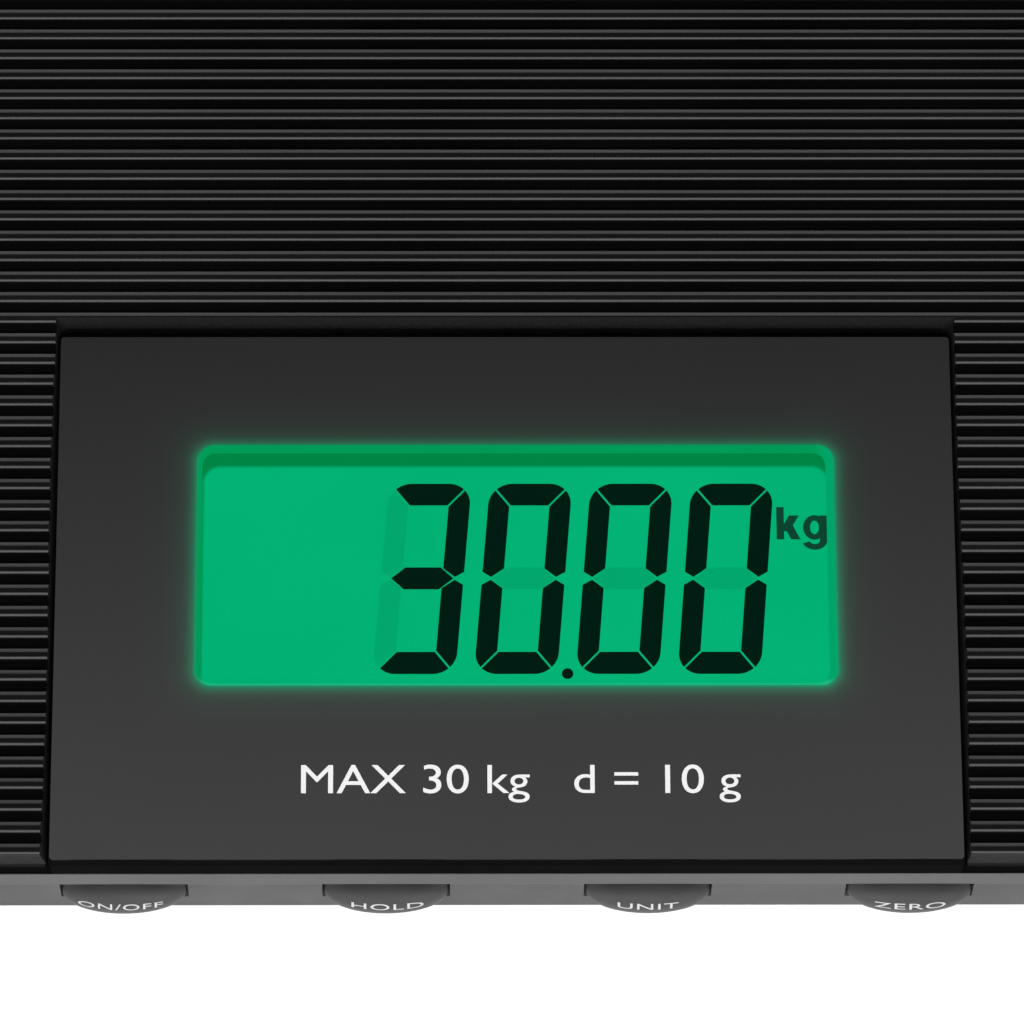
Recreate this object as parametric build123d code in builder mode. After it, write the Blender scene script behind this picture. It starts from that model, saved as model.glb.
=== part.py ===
"""Platform shipping scale for parcels.

A low plastic body stands on rubber feet. A ribbed rubber mat lies on a U-shaped weighing plate, which four
rubber posts carry on a load frame and a single-point load cell. A display panel with an LCD stands in the
notch at the front, above four keys. The frame is +Z up, +Y to the back, origin under the middle of the whole.
"""

import os

from build123d import *

os.makedirs("parts", exist_ok=True)

# ---- driving dimensions, in millimetres ----

body_width = 310.0
body_depth = 300.0
body_radius = 14.0
wall = 2.5
floor_thickness = 2.5
foot_proud = 3.0
rim_top = 34.7
cover_edge = 1.25
band_height = 8.8
hull_top_inset = 1.5
hull_bottom_inset = 8.0

rim_chamfer = 0.95
rim_chamfer_drop = 1.15
rim_lip = 1.05
deck_drop = 0.6
deck_thickness = 1.7
ledge_width = 12.0
well_floor = 30.2
well_thickness = 2.0

rest_gap = 0.7
plate_gap = 0.9
plate_thickness = 1.45
plate_rib_depth = 3.6
plate_rib_pitch = 46.0
plate_rib_width = 1.6
mat_thickness = 3.8
rib_pitch = 3.1
rib_land = 1.75
groove_depth = 1.1

panel_width = 122.8
panel_depth = 76.5
panel_rise = 5.2
panel_radius = 0.7
panel_side_gap = 0.5
panel_back_gap = 2.65
pod_wall = 2.0
pod_shelf = 1.5
lens_thickness = 2.0
lens_inset = 0.25
overlay_thickness = 0.2
electronics_x = 1.4
window_width = 86.8
window_depth = 34.8
window_radius = 2.2
window_from_back = 16.65

lcd_width = 92.0
lcd_depth = 40.0
lcd_thickness = 2.8
lcd_below_lens = 1.05
board_thickness = 1.6
board_width = 110.0
board_depth = 56.0
board_top = 29.6
board_hole_inset = 3.5

key_pitch = 35.25
key_width = 16.6
key_height = 4.7
key_proud = 3.2
key_travel = 0.8
key_play = 0.3
key_drop = 0.2
key_flange = 1.2
key_flange_lap = 0.6

cell_length = 80.0
cell_side = 12.7
cell_hole_pitch = 15.0
cell_first_hole = 5.0
bracket_thickness = 2.0
spacer_thickness = 2.0
spider_thickness = 2.5
post_x = 105.0
post_y = 96.5
post_radius = 7.0
arm_width = 22.0
stop_share = 0.7

foot_radius = 11.0
foot_sunk = 1.0
foot_inset = 37.0
case_inset_x = 18.0
case_inset_y = 24.0
case_recess = 5.0
boss_radius = 4.5
floor_rib_thickness = 1.6
floor_rib_height = 3.0
floor_rib_x = 60.0
floor_rib_y = [-90.0, -50.0, 112.0]

battery_radius = 7.1
battery_length = 50.5
battery_pitch = 14.8
bay_front = 46.0
bay_length = 57.0
bay_wall = 1.8
door_thickness = 1.9
door_play = 0.3
door_step = 1.2
tab_x = 18.0
tab_width = 8.0
tab_play = 0.6
tab_thickness = 1.2

jack_x = 110.0
jack_z = 14.5
jack_width = 9.0
jack_height = 11.0
jack_length = 13.0
lead_spacing = 2.6

fit = 0.1
key_stem = wall + fit + 0.4

# ---- levels and places worked out from them ----

body_y = key_proud / 2
front_y = body_y - body_depth / 2
back_y = body_y + body_depth / 2
wall_top = rim_top - cover_edge
band_bottom = wall_top - band_height
floor_top = foot_proud + floor_thickness
deck_top = rim_top - deck_drop
deck_bottom = deck_top - deck_thickness
well_bottom = well_floor - well_thickness
plate_bottom = deck_top + rest_gap
plate_top = plate_bottom + plate_thickness
mat_top = plate_top + mat_thickness
plate_inset = rim_lip + plate_gap

panel_front = front_y + rim_lip + 0.02
panel_back = panel_front + panel_depth
panel_y = (panel_front + panel_back) / 2
panel_top = rim_top + panel_rise
lens_top = panel_top - overlay_thickness
lens_bottom = panel_top - lens_thickness
shelf_bottom = lens_bottom - pod_shelf
window_y = panel_back - window_from_back - window_depth / 2
lcd_top = lens_bottom - lcd_below_lens
lcd_bottom = lcd_top - lcd_thickness
board_bottom = board_top - board_thickness
notch_width = panel_width + 2 * panel_side_gap
notch_back = panel_back + panel_back_gap

bracket_bottom = floor_top + bracket_thickness
cell_bottom = bracket_bottom + bracket_thickness
cell_top = cell_bottom + cell_side
spider_bottom = cell_top + spacer_thickness
spider_top = spider_bottom + spider_thickness
fixed_holes = [-cell_length / 2 + cell_first_hole, -cell_length / 2 + cell_first_hole + cell_hole_pitch]
live_holes = [-x for x in fixed_holes]

key_z = wall_top - key_height / 2 - key_drop
key_x = [electronics_x + (i - 1.5) * key_pitch for i in range(4)]
key_names = ["on_off", "hold", "unit", "zero"]
key_notch_low = key_z - key_height / 2 - key_play / 2

corners = [(-1, -1), (1, -1), (-1, 1), (1, 1)]
post_spots = [(i * post_x, body_y + j * post_y) for i, j in corners]
foot_x = body_width / 2 - foot_inset
foot_y = body_depth / 2 - foot_inset
foot_spots = [(i * foot_x, body_y + j * foot_y) for i, j in corners]
case_x = body_width / 2 - case_inset_x
case_y = body_depth / 2 - case_inset_y
case_spots = [(i * case_x, body_y + j * case_y) for i in (-1, 1) for j in (-1, 0, 1)]
stop_spots = [(i * post_x * stop_share, body_y + j * post_y * stop_share) for i, j in corners]
hole_x = board_width / 2 - board_hole_inset
hole_y = board_depth / 2 - board_hole_inset
board_spots = [(electronics_x + i * hole_x, window_y + j * hole_y) for i, j in corners]
fixed_spots = [(x, body_y) for x in fixed_holes]
live_spots = [(x, body_y) for x in live_holes]
cell_x = [(i - 1.5) * battery_pitch for i in range(4)]


def level(z):
    """The plane at height z, centred on the body."""
    return Plane((0, body_y, z))


def inset_of_hull(z):
    """How far the tapered hull stands in from the body's outline at height z."""
    share = (band_bottom - z) / (band_bottom - foot_proud)
    return hull_top_inset + share * (hull_bottom_inset - hull_top_inset)


def outline(z, inset):
    """The body's rounded outline at height z, inset on every side."""
    with BuildSketch(level(z)) as sketch:
        RectangleRounded(body_width - 2 * inset, body_depth - 2 * inset, max(body_radius - inset, 1.0))
    return sketch.sketch


def slab(z_low, z_high, inset):
    """A rounded slab of the body's outline between two heights."""
    with BuildPart() as piece:
        add(outline(z_low, inset))
        extrude(amount=z_high - z_low)
    return piece.part


def block(x_low, x_high, y_low, y_high, z_low, z_high):
    """A plain box between its low and high corners."""
    with BuildPart() as piece:
        with Locations(((x_low + x_high) / 2, (y_low + y_high) / 2, (z_low + z_high) / 2)):
            Box(x_high - x_low, y_high - y_low, z_high - z_low)
    return piece.part


def pillars(spots, radius, z_low, z_high):
    """Upright cylinders at the given spots."""
    with BuildPart() as piece:
        with Locations(*[(x, y, z_low) for x, y in spots]):
            Cylinder(radius, z_high - z_low, align=(Align.CENTER, Align.CENTER, Align.MIN))
    return piece.part


def tapered(z_low, z_high, inset_low, inset_high):
    """The hull's tapered body between two heights."""
    with BuildPart() as piece:
        add(outline(z_low, inset_low))
        add(outline(z_high, inset_high))
        loft()
    return piece.part


def pan_screws(spots, shank, z_tip, z_bearing, head_radius, head_height, turned):
    """Pan-head screws. turned is 1 with the head above its bearing level, and -1 with it below."""
    with BuildPart() as piece:
        head_low = z_bearing if turned > 0 else z_bearing - head_height
        add(pillars(spots, shank, min(z_tip, z_bearing), max(z_tip, z_bearing)))
        add(pillars(spots, head_radius, head_low, head_low + head_height))
        outer = z_bearing + turned * head_height
        rim = piece.edges().filter_by(GeomType.CIRCLE).filter_by_position(Axis.Z, outer - 0.01, outer + 0.01)
        fillet(rim, head_height * 0.45)
        with Locations(*[(x, y, outer) for x, y in spots]):
            Box(head_radius * 1.1, head_radius * 0.26, head_height, mode=Mode.SUBTRACT)
            Box(head_radius * 0.26, head_radius * 1.1, head_height, mode=Mode.SUBTRACT)
    return piece.part


def lead(points, diameter, bend):
    """A wire of straight runs joined by tangent arcs."""
    with BuildPart() as wire:
        with BuildLine() as route:
            FilletPolyline(*points, radius=bend)
        with BuildSketch(Plane(origin=route.line @ 0, z_dir=route.line % 0)):
            Circle(diameter / 2)
        sweep()
    return wire.part


# ---- base pan: tapered hull, band, floor, bosses and battery bay ----

bay_half = 2 * battery_pitch + 0.4
bay_back = bay_front + bay_length
cell_z = foot_proud + door_thickness + 0.9 + battery_radius
bay_roof = cell_z + battery_radius + 0.5
door_half = bay_half + door_step
door_front = bay_front - bay_wall + 0.4
door_back = bay_back + door_step
seat_z = foot_proud + door_thickness + fit
bar_radius = bay_wall / 2
hinge_y = bay_front - bar_radius
hinge_z = seat_z + bar_radius
hook_inner = bar_radius + fit
hook_outer = hook_inner + tab_thickness
tab_slot = tab_width / 2 + tab_play
stop_head = 1.6
stop_gap = 0.7
stop_top = spider_bottom - stop_gap - stop_head
screw_shank = 1.5
case_boss_top = well_bottom - 4.0
jack_face_y = back_y - inset_of_hull(jack_z - jack_height / 2 - 1.0) - 0.6
key_board_low = 17.0
key_board_top = 32.0
switch_z = 30.2
switch_face = front_y + wall + 2.3
switch_depth = 3.0
key_board_front = switch_face + switch_depth
key_boss_x = [electronics_x + i * 61.0 for i in (-1, 1)]
key_boss_z = 21.0
key_boss = 6.0
self_tap = 0.9
cell_head_recess = 2.2
cell_screw = 2.4
bracket_low = -cell_length / 2 - 6.0
bracket_high = -14.0
bracket_half = 18.0
pad_low = bracket_low - 2.0
pad_high = bracket_high + 2.0
pad_half = bracket_half + 2.0


def bar(x, half, radius):
    """A round bar on the battery door's hinge axis, half to each side of x."""
    with BuildPart() as piece:
        with BuildSketch(Plane((x, hinge_y, hinge_z), x_dir=(0, 1, 0), z_dir=(1, 0, 0))):
            Circle(radius)
        extrude(amount=half, both=True)
    return piece.part


def around_jack(play, y_low, y_high):
    """A box with the power socket's section, larger by play all round."""
    half_x = jack_width / 2 + play
    half_z = jack_height / 2 + play
    return block(jack_x - half_x, jack_x + half_x, y_low, y_high, jack_z - half_z, jack_z + half_z)


with BuildPart() as cavity:
    lower_top = band_bottom + 2.0
    add(tapered(floor_top, lower_top, inset_of_hull(floor_top) + wall, inset_of_hull(lower_top) + wall))
    add(slab(lower_top, wall_top + 1, wall))
    add(block(-bay_half - bay_wall, bay_half + bay_wall, bay_front - bay_wall, bay_back + bay_wall,
              0, bay_roof + 1.5), mode=Mode.SUBTRACT)
    add(pillars(case_spots, boss_radius, 0, case_boss_top), mode=Mode.SUBTRACT)
    add(pillars(stop_spots, boss_radius, 0, stop_top), mode=Mode.SUBTRACT)
    add(block(pad_low, pad_high, body_y - pad_half, body_y + pad_half, 0, bracket_bottom), mode=Mode.SUBTRACT)
    add(block(jack_x - jack_width, jack_x + jack_width, jack_face_y - 2.0, back_y, 0,
              jack_z + jack_height / 2 + 2.0), mode=Mode.SUBTRACT)
    half = floor_rib_thickness / 2
    for x in (-floor_rib_x, floor_rib_x):
        add(block(x - half, x + half, front_y, back_y, 0, floor_top + floor_rib_height), mode=Mode.SUBTRACT)
    for y in floor_rib_y:
        add(block(-body_width, body_width, y - half, y + half, 0, floor_top + floor_rib_height),
            mode=Mode.SUBTRACT)

with BuildPart() as base_pan:
    add(tapered(foot_proud, band_bottom, hull_bottom_inset, hull_top_inset))
    add(slab(band_bottom, wall_top, 0))
    add(cavity.part, mode=Mode.SUBTRACT)
    add(slab(deck_bottom - fit, wall_top + 1, wall / 2), mode=Mode.SUBTRACT)
    half = key_boss / 2
    for x in key_boss_x:
        add(block(x - half, x + half, front_y + 4.5, key_board_front, key_boss_z - half, key_boss_z + half))
        with Locations(Plane((x, key_board_front, key_boss_z), z_dir=(0, 1, 0))):
            Hole(self_tap, depth=3.0)
    half = key_width / 2 + key_play
    for x in key_x:
        add(block(x - half, x + half, front_y - 1, front_y + wall + 1, key_notch_low, wall_top + 1),
            mode=Mode.SUBTRACT)
    add(block(-bay_half, bay_half, bay_front, bay_back, 0, bay_roof), mode=Mode.SUBTRACT)
    add(block(-door_half, door_half, door_front, door_back, 0, seat_z), mode=Mode.SUBTRACT)
    for x in (-tab_x, tab_x):
        add(block(x - tab_slot, x + tab_slot, door_front, bay_front + 1, 0, hinge_z + hook_outer + 0.4),
            mode=Mode.SUBTRACT)
        add(bar(x, tab_slot, hook_outer + 0.3), mode=Mode.SUBTRACT)
        add(bar(x, tab_slot, bar_radius))
    add(block(-8, 8, door_back - 1, door_back + 6, 0, foot_proud + 1.2), mode=Mode.SUBTRACT)
    add(pillars(foot_spots, foot_radius + 0.3, 0, foot_proud + foot_sunk), mode=Mode.SUBTRACT)
    add(pillars(case_spots, 3.6, 0, foot_proud + case_recess), mode=Mode.SUBTRACT)
    add(pillars(case_spots, screw_shank + 0.2, 0, case_boss_top + 1), mode=Mode.SUBTRACT)
    add(pillars(fixed_spots, 5.0, 0, foot_proud + cell_head_recess), mode=Mode.SUBTRACT)
    add(pillars(fixed_spots, cell_screw + 0.3, 0, cell_bottom), mode=Mode.SUBTRACT)
    add(pillars(stop_spots, screw_shank, 10, stop_top + 1), mode=Mode.SUBTRACT)
    add(around_jack(0.5, jack_face_y, back_y + 1), mode=Mode.SUBTRACT)
    add(around_jack(fit, jack_face_y - jack_length - 1, jack_face_y + 1), mode=Mode.SUBTRACT)
base_pan.part.label = "base_pan"
export_step(base_pan.part, "parts/base_pan.step")

# ---- top cover: chamfered rim lip, ledge, well, bosses ----

pod_inner = panel_width / 2 - pod_wall
ring_front = front_y + ledge_width
opening_half_x = board_width / 2 + 2.5
opening_front = ring_front + 2.1
opening_back = window_y + board_depth / 2 + 1.0
hook_ys = [window_y - 12, window_y + 12]
hook_width = 8.0
hook_play = 0.2
hook_room = 0.9
barb = 0.8
key_half = key_width / 2 + key_play

with BuildPart() as top_cover:
    add(slab(wall_top, rim_top, 0))
    rim_face = top_cover.faces().sort_by(Axis.Z)[-1]
    chamfer(rim_face.edges(), rim_chamfer, rim_chamfer_drop, reference=rim_face)
    add(slab(deck_bottom, wall_top, wall / 2 + fit))
    add(slab(deck_top, rim_top + 1, rim_lip), mode=Mode.SUBTRACT)
    add(slab(well_bottom, deck_bottom, ledge_width))
    add(slab(well_floor, deck_top + 1, ledge_width + 2), mode=Mode.SUBTRACT)
    add(block(electronics_x - opening_half_x, electronics_x + opening_half_x, opening_front, opening_back,
              well_bottom - 1, well_floor + 1), mode=Mode.SUBTRACT)
    add(pillars(post_spots, post_radius + 1.0, well_bottom - 1, well_floor + 1), mode=Mode.SUBTRACT)
    add(pillars(case_spots, boss_radius, case_boss_top + 0.05, well_bottom + 0.5))
    add(pillars(case_spots, screw_shank, case_boss_top - 1, well_floor - 0.6), mode=Mode.SUBTRACT)
    for x in key_x:
        add(block(x - key_half, x + key_half, front_y, front_y + key_stem + key_travel + key_play,
                  deck_bottom - 1, wall_top), mode=Mode.SUBTRACT)
    half = hook_width / 2 + hook_play
    for side in (-1, 1):
        slot = sorted((side * (pod_inner - hook_room), side * (pod_inner + pod_wall + hook_play)))
        for y in hook_ys:
            add(block(*slot, y - half, y + half, well_bottom - 1, well_floor + 1), mode=Mode.SUBTRACT)
top_cover.part.label = "top_cover"
export_step(top_cover.part, "parts/top_cover.step")

# ---- display housing: walls, shelf with the LCD opening, board bosses, snap hooks ----

holder_wall = 1.8
holder_x = lcd_width / 2 + 0.2 + holder_wall
holder_y = lcd_depth / 2 + 0.2 + holder_wall
holder_top = lcd_top + 0.5


def panel_slab(z_low, z_high, inset):
    """A slab of the panel's outline between two heights."""
    with BuildPart() as piece:
        with BuildSketch(Plane((0, panel_y, z_low))):
            RectangleRounded(panel_width - 2 * inset, panel_depth - 2 * inset, max(panel_radius - inset, 0.3))
        extrude(amount=z_high - z_low)
    return piece.part


def around_lcd(half_x, half_y, z_low, z_high):
    """A box centred on the LCD."""
    return block(electronics_x - half_x, electronics_x + half_x, window_y - half_y, window_y + half_y,
                 z_low, z_high)


def window_slab(z_low, z_high, play):
    """A slab of the window's rounded outline, smaller by play all round."""
    with BuildPart() as piece:
        with BuildSketch(Plane((electronics_x, window_y, z_low))):
            RectangleRounded(window_width - 2 * play, window_depth - 2 * play, window_radius - play)
        extrude(amount=z_high - z_low)
    return piece.part


with BuildPart() as display_housing:
    add(panel_slab(well_floor, lens_bottom, 0))
    add(panel_slab(well_floor - 1, shelf_bottom, pod_wall), mode=Mode.SUBTRACT)
    add(block(-body_width, body_width, front_y, ring_front + 2.2, 0, deck_top + 0.02), mode=Mode.SUBTRACT)
    add(around_lcd(holder_x + 0.3, holder_y + 0.3, shelf_bottom - 1, panel_top), mode=Mode.SUBTRACT)
    add(pillars(board_spots, 2.4, board_top, shelf_bottom + 0.5))
    add(pillars(board_spots, 0.9, board_top - 1, shelf_bottom - 0.8), mode=Mode.SUBTRACT)
    half = hook_width / 2
    for side in (-1, 1):
        leg = sorted((side * pod_inner, side * (pod_inner + pod_wall)))
        catch = sorted((side * pod_inner, side * (pod_inner + pod_wall + barb)))
        for y in hook_ys:
            add(block(*leg, y - half, y + half, well_bottom - 1.8, well_floor + 1))
            add(block(*catch, y - half, y + half, well_bottom - 1.6, well_bottom - 0.2))
display_housing.part.label = "display_housing"
export_step(display_housing.part, "parts/display_housing.step")

# ---- lens with its raised window, and the printed overlay around it ----

with BuildPart() as display_lens:
    add(panel_slab(lens_bottom, lens_top, lens_inset))
    add(window_slab(lens_top, panel_top, 0.02))
display_lens.part.label = "display_lens"
export_step(display_lens.part, "parts/display_lens.step")

with BuildPart() as panel_overlay:
    add(panel_slab(lens_top, panel_top, lens_inset))
    add(window_slab(lens_top - 1, panel_top + 1, 0), mode=Mode.SUBTRACT)
panel_overlay.part.label = "panel_overlay"
export_step(panel_overlay.part, "parts/panel_overlay.step")

# ---- LCD, its holder, backlight block and elastomer strips ----

zebra_width = 1.8
light_half_y = lcd_depth / 2 - zebra_width - 0.4

with BuildPart() as lcd_holder:
    add(around_lcd(holder_x, holder_y, board_top, holder_top))
    add(around_lcd(lcd_width / 2 + 0.2, lcd_depth / 2 + 0.2, board_top - 1, lcd_top + 0.02),
        mode=Mode.SUBTRACT)
    add(around_lcd(lcd_width / 2 - 1.6, lcd_depth / 2 - 1.6, board_top, panel_top), mode=Mode.SUBTRACT)
lcd_holder.part.label = "lcd_holder"
export_step(lcd_holder.part, "parts/lcd_holder.step")

with BuildPart() as lcd_glass:
    add(around_lcd(lcd_width / 2, lcd_depth / 2, lcd_bottom, lcd_top))
    chamfer(lcd_glass.edges().filter_by(Axis.Z), 0.4)
lcd_glass.part.label = "lcd_glass"
export_step(lcd_glass.part, "parts/lcd_glass.step")

with BuildPart() as backlight:
    add(around_lcd(lcd_width / 2 - 1, light_half_y, board_top, lcd_bottom - 0.05))
backlight.part.label = "backlight"
export_step(backlight.part, "parts/backlight.step")

with BuildPart() as zebra_strips:
    for side in (-1, 1):
        y = window_y + side * (lcd_depth / 2 - zebra_width / 2 - 0.2)
        add(block(electronics_x - lcd_width / 2 + 2, electronics_x + lcd_width / 2 - 2, y - zebra_width / 2,
                  y + zebra_width / 2, board_top, lcd_bottom))
zebra_strips.part.label = "zebra_strips"
export_step(zebra_strips.part, "parts/zebra_strips.step")

# ---- main board with its components and screws ----

header_x = [-42.0, -24.0, 30.0, 44.0]
header_y = window_y + 16.0
header_depth = 6.0
header_drop = 6.0

with BuildPart() as main_board:
    add(around_lcd(board_width / 2, board_depth / 2, board_bottom, board_top))
    chamfer(main_board.edges().filter_by(Axis.Z), 1.0)
    add(pillars(board_spots, 1.3, board_bottom - 1, board_top + 1), mode=Mode.SUBTRACT)
main_board.part.label = "main_board"
export_step(main_board.part, "parts/main_board.step")

with BuildPart() as board_chips:
    with Locations((-8, window_y - 2, board_bottom - 0.7), (18, window_y - 6, board_bottom - 0.7)):
        Box(10, 10, 1.4)
    with Locations((-28, window_y - 8, board_bottom - 0.8), (36, window_y - 10, board_bottom - 0.8)):
        Box(6, 10, 1.6)
    with Locations((4, window_y + 12, board_bottom - 3.0), (-10, window_y + 14, board_bottom - 3.0)):
        Cylinder(2.5, 6.0)
    chamfer(board_chips.edges().filter_by(GeomType.CIRCLE).sort_by(Axis.Z)[0:2], 0.4)
board_chips.part.label = "board_chips"
export_step(board_chips.part, "parts/board_chips.step")

with BuildPart() as wire_headers:
    for x in header_x:
        add(block(x - 4, x + 4, header_y - header_depth / 2, header_y + header_depth / 2,
                  board_bottom - header_drop, board_bottom))
        add(block(x - 3.2, x + 3.2, header_y, header_y + header_depth, board_bottom - header_drop + 1,
                  board_bottom - 1.4), mode=Mode.SUBTRACT)
wire_headers.part.label = "wire_headers"
export_step(wire_headers.part, "parts/wire_headers.step")

with BuildPart() as board_screws:
    add(pan_screws(board_spots, 0.88, board_top + 4.5, board_bottom, 2.1, 1.3, -1))
board_screws.part.label = "board_screws"
export_step(board_screws.part, "parts/board_screws.step")

# ---- keys: domed caps, plungers, tact switches on an upright board ----

flange_face = front_y + wall + fit
flange_back = flange_face + key_flange
switch_width = 6.0
switch_height = 3.6
plunger_radius = 1.5
plunger_tip = switch_face + key_travel + 0.4

flange_half = key_width / 2 + 1.2

for name, x in zip(key_names, key_x):
    with BuildPart() as key_cap:
        with BuildSketch(Plane((x, front_y, key_z), x_dir=(1, 0, 0), z_dir=(0, 1, 0))):
            Ellipse(key_width / 2, key_height / 2)
        extrude(amount=key_stem)
        dome = scale(Sphere(1.0, mode=Mode.PRIVATE), by=(key_width / 2, key_proud, key_height / 2),
                     mode=Mode.PRIVATE)
        half_dome = split(dome, bisect_by=Plane((0, 0, 0), z_dir=(0, 1, 0)), keep=Keep.BOTTOM,
                          mode=Mode.PRIVATE)
        add(half_dome.moved(Location((x, front_y, key_z))))
        add(block(x - flange_half, x + flange_half, flange_face, flange_back, key_notch_low - key_flange_lap,
                  deck_bottom - 0.2))
    key_cap.part.label = f"{name}_key"
    export_step(key_cap.part, f"parts/{name}_key.step")

    with BuildPart() as plunger:
        with Locations(Plane((x, flange_back, switch_z), z_dir=(0, 1, 0))):
            Cylinder(plunger_radius, plunger_tip - flange_back, align=(Align.CENTER, Align.CENTER, Align.MIN))
    plunger.part.label = f"{name}_plunger"
    export_step(plunger.part, f"parts/{name}_plunger.step")

with BuildPart() as key_switches:
    for x in key_x:
        add(block(x - switch_width / 2, x + switch_width / 2, switch_face, key_board_front,
                  switch_z - switch_height / 2, switch_z + switch_height / 2))
    with Locations(*[Plane((x, switch_face, switch_z), z_dir=(0, -1, 0)) for x in key_x]):
        Hole(plunger_radius + 0.15, depth=key_travel + 1.4)
key_switches.part.label = "key_switches"
export_step(key_switches.part, "parts/key_switches.step")

with BuildPart() as key_board:
    add(block(electronics_x - 66, electronics_x + 66, key_board_front, key_board_front + board_thickness,
              key_board_low, key_board_top))
    with Locations(*[Plane((x, key_board_front, key_boss_z), z_dir=(0, -1, 0)) for x in key_boss_x]):
        Hole(1.2, depth=board_thickness)
key_board.part.label = "key_board"
export_step(key_board.part, "parts/key_board.step")

with BuildPart() as key_board_screws:
    for x in key_boss_x:
        with Locations(Plane((x, key_board_front - 2.6, key_boss_z), z_dir=(0, 1, 0))):
            Cylinder(0.88, 2.6 + board_thickness, align=(Align.CENTER, Align.CENTER, Align.MIN))
        with Locations(Plane((x, key_board_front + board_thickness, key_boss_z), z_dir=(0, 1, 0))):
            Cylinder(2.1, 1.3, align=(Align.CENTER, Align.CENTER, Align.MIN))
key_board_screws.part.label = "key_board_screws"
export_step(key_board_screws.part, "parts/key_board_screws.step")

ribbon_thickness = 0.3
ribbon_back = key_board_front + board_thickness
board_front = window_y - board_depth / 2
with BuildPart() as key_ribbon:
    with BuildSketch(Plane((electronics_x + 26, 0, 0), x_dir=(0, 1, 0), z_dir=(1, 0, 0))):
        with BuildLine() as ribbon_path:
            Polyline((ribbon_back, 19.0), (ribbon_back + 2.2, 19.0), (board_front + 2.0, 24.5),
                     (board_front + 2.0, board_bottom))
        trace(line_width=ribbon_thickness)
    extrude(amount=8, both=True)
    add(block(-80, 80, ribbon_back - 2, ribbon_back, 10, 30), mode=Mode.SUBTRACT)
    add(block(-80, 80, board_front - 2, board_front + 6, board_bottom, board_bottom + 3), mode=Mode.SUBTRACT)
key_ribbon.part.label = "key_ribbon"
export_step(key_ribbon.part, "parts/key_ribbon.step")

# ---- load cell, bracket, spacer, spider and their screws ----

cell_z_mid = (cell_bottom + cell_top) / 2

with BuildPart() as load_cell:
    add(block(-cell_length / 2, cell_length / 2, body_y - cell_side / 2, body_y + cell_side / 2,
              cell_bottom, cell_top))
    with Locations(*[Plane((x, body_y - cell_side / 2, cell_z_mid), z_dir=(0, -1, 0)) for x in (-5.5, 5.5)]):
        Hole(4.9)
    add(block(-5.5, 5.5, body_y - cell_side, body_y + cell_side, cell_z_mid - 1.5, cell_z_mid + 1.5),
        mode=Mode.SUBTRACT)
    add(pillars(fixed_spots + live_spots, cell_screw + 0.05, 0, rim_top), mode=Mode.SUBTRACT)
load_cell.part.label = "load_cell"
export_step(load_cell.part, "parts/load_cell.step")

with BuildPart() as cell_bracket:
    add(block(bracket_low, bracket_high, body_y - bracket_half, body_y + bracket_half, bracket_bottom,
              cell_bottom))
    chamfer(cell_bracket.edges().filter_by(Axis.Z), 3.0)
    add(pillars(fixed_spots, cell_screw + 0.1, 0, rim_top), mode=Mode.SUBTRACT)
cell_bracket.part.label = "cell_bracket"
export_step(cell_bracket.part, "parts/cell_bracket.step")

with BuildPart() as cell_screws:
    add(pan_screws(fixed_spots, cell_screw, cell_bottom + 9, foot_proud + cell_head_recess, 4.5, 1.8, -1))
cell_screws.part.label = "cell_screws"
export_step(cell_screws.part, "parts/cell_screws.step")

with BuildPart() as cell_spacer:
    add(block(14, cell_length / 2, body_y - cell_side / 2, body_y + cell_side / 2, cell_top, spider_bottom))
    add(pillars(live_spots, cell_screw + 0.1, 0, rim_top), mode=Mode.SUBTRACT)
cell_spacer.part.label = "cell_spacer"
export_step(cell_spacer.part, "parts/cell_spacer.step")

arm_length = 2 * (post_x ** 2 + post_y ** 2) ** 0.5
post_pin = 2.0
arm_direction = Vector(post_x, post_y, 0).get_angle(Vector(1, 0, 0))

with BuildPart() as load_spider:
    with BuildSketch(level(spider_bottom)):
        SlotCenterToCenter(arm_length, arm_width, rotation=arm_direction)
        SlotCenterToCenter(arm_length, arm_width, rotation=-arm_direction)
        RectangleRounded(100, 48, 8)
    extrude(amount=spider_thickness)
    with Locations(*[(x, y, spider_top) for x, y in live_spots]):
        CounterSinkHole(cell_screw + 0.1, 4.7)
    add(pillars(post_spots, post_pin + fit, 0, rim_top), mode=Mode.SUBTRACT)
load_spider.part.label = "load_spider"
export_step(load_spider.part, "parts/load_spider.step")

cone_height = 2.1
with BuildPart() as spider_screws:
    add(pillars(live_spots, cell_screw, cell_top - 9, spider_top - 1.0))
    with Locations(*[(x, y, spider_top - cone_height) for x, y in live_spots]):
        Cone(cell_screw, 4.5, cone_height, align=(Align.CENTER, Align.CENTER, Align.MIN))
    with Locations(*[(x, y, spider_top) for x, y in live_spots]):
        Box(4.6, 1.0, 1.6, mode=Mode.SUBTRACT)
        Box(1.0, 4.6, 1.6, mode=Mode.SUBTRACT)
spider_screws.part.label = "spider_screws"
export_step(spider_screws.part, "parts/spider_screws.step")

with BuildPart() as rubber_posts:
    add(pillars(post_spots, post_radius, spider_top, plate_bottom))
    fillet(rubber_posts.edges().filter_by(GeomType.CIRCLE).group_by(Axis.Z)[-1], 0.8)
    add(pillars(post_spots, post_pin, spider_bottom, spider_top))
rubber_posts.part.label = "rubber_posts"
export_step(rubber_posts.part, "parts/rubber_posts.step")

with BuildPart() as stop_screws:
    add(pan_screws(stop_spots, screw_shank - 0.05, stop_top - 8, stop_top, 3.5, stop_head, 1))
stop_screws.part.label = "stop_screws"
export_step(stop_screws.part, "parts/stop_screws.step")

# ---- weighing plate and rubber mat ----


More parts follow.
